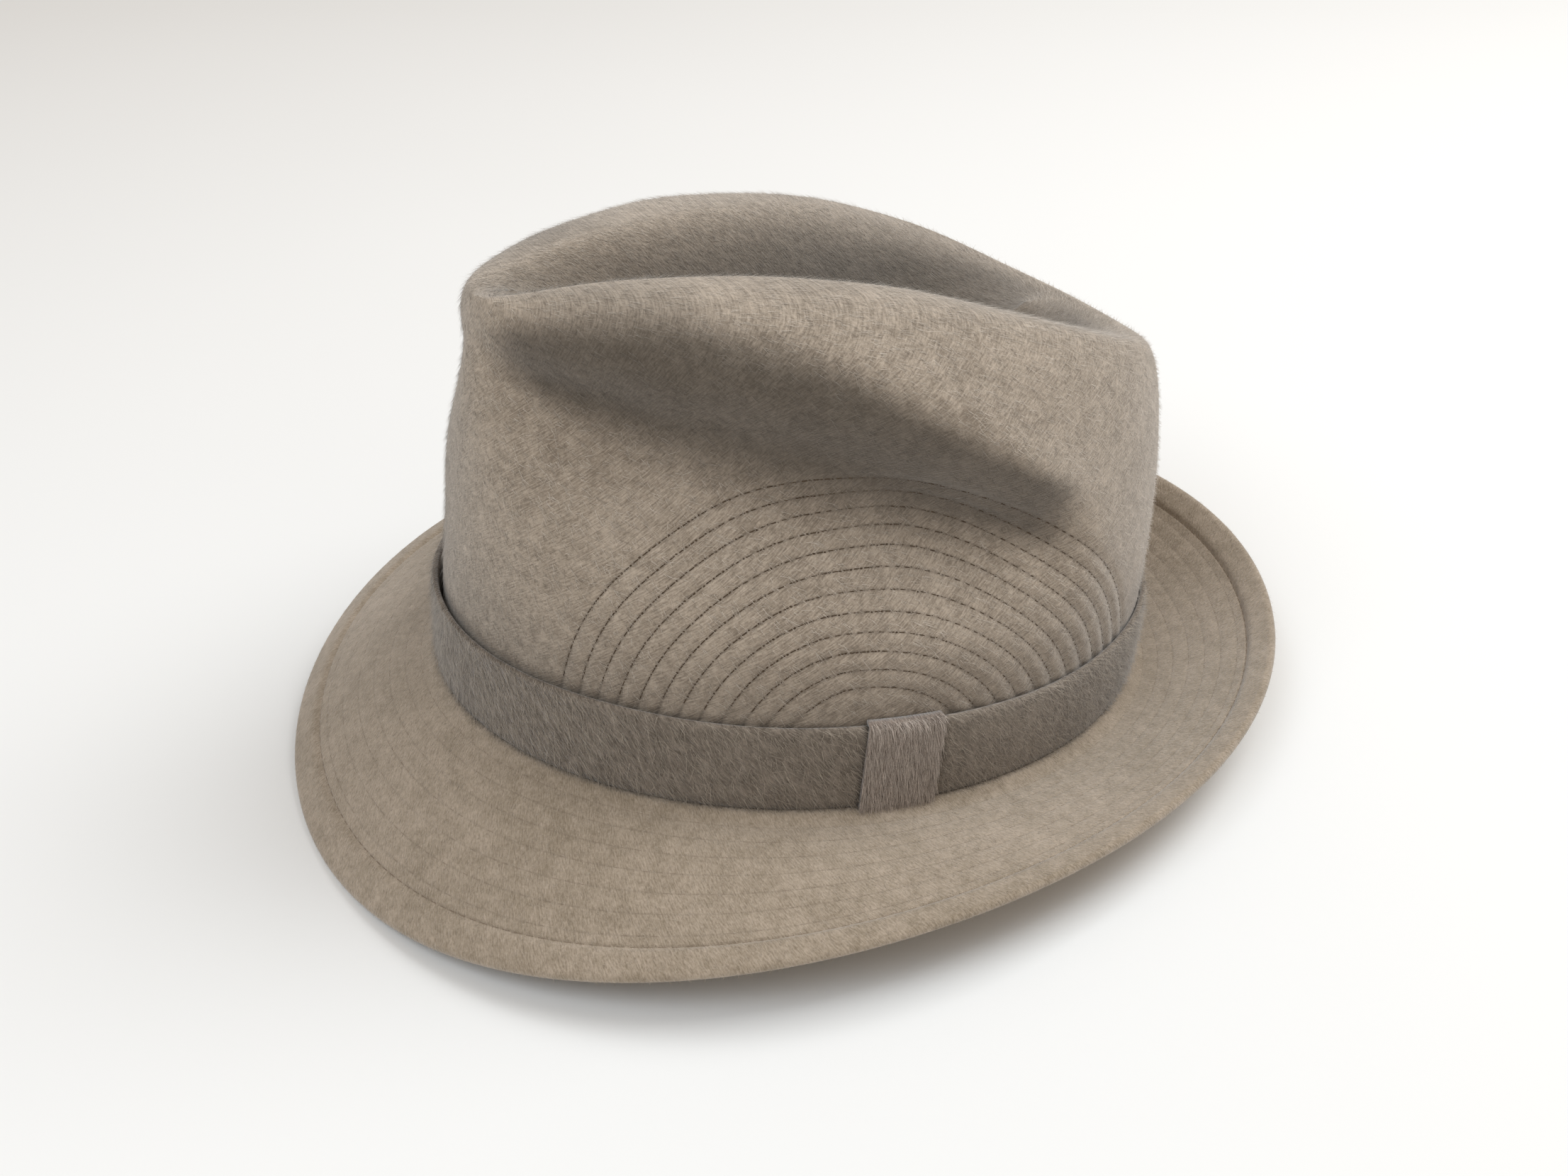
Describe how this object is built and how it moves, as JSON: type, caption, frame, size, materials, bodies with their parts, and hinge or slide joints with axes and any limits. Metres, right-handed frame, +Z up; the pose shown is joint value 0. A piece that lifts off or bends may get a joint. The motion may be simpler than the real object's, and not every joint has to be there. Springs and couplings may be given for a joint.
{
  "type": "trilby hat",
  "caption": "Soft felt trilby with a dented teardrop crown, side pinches, a snap brim turned down in front, and a felt band with a keeper.",
  "frame": {"origin": "middle of the bounding box, on the surface that the hat rests on", "axes": "+Z up, -Y to the front of the hat, +X to the wearer's left"},
  "size_m": [0.251, 0.2962, 0.1435],
  "materials": {
    "crown_felt": "long-napped felt",
    "brim_felt": "short-napped felt",
    "band_felt": "long-napped felt",
    "keeper_felt": "long-napped felt"
  },
  "bodies": {
    "root": {"crown": "crown_felt", "brim": "brim_felt", "hatband": "band_felt", "band_keeper": "keeper_felt"}
  },
  "joints": []
}
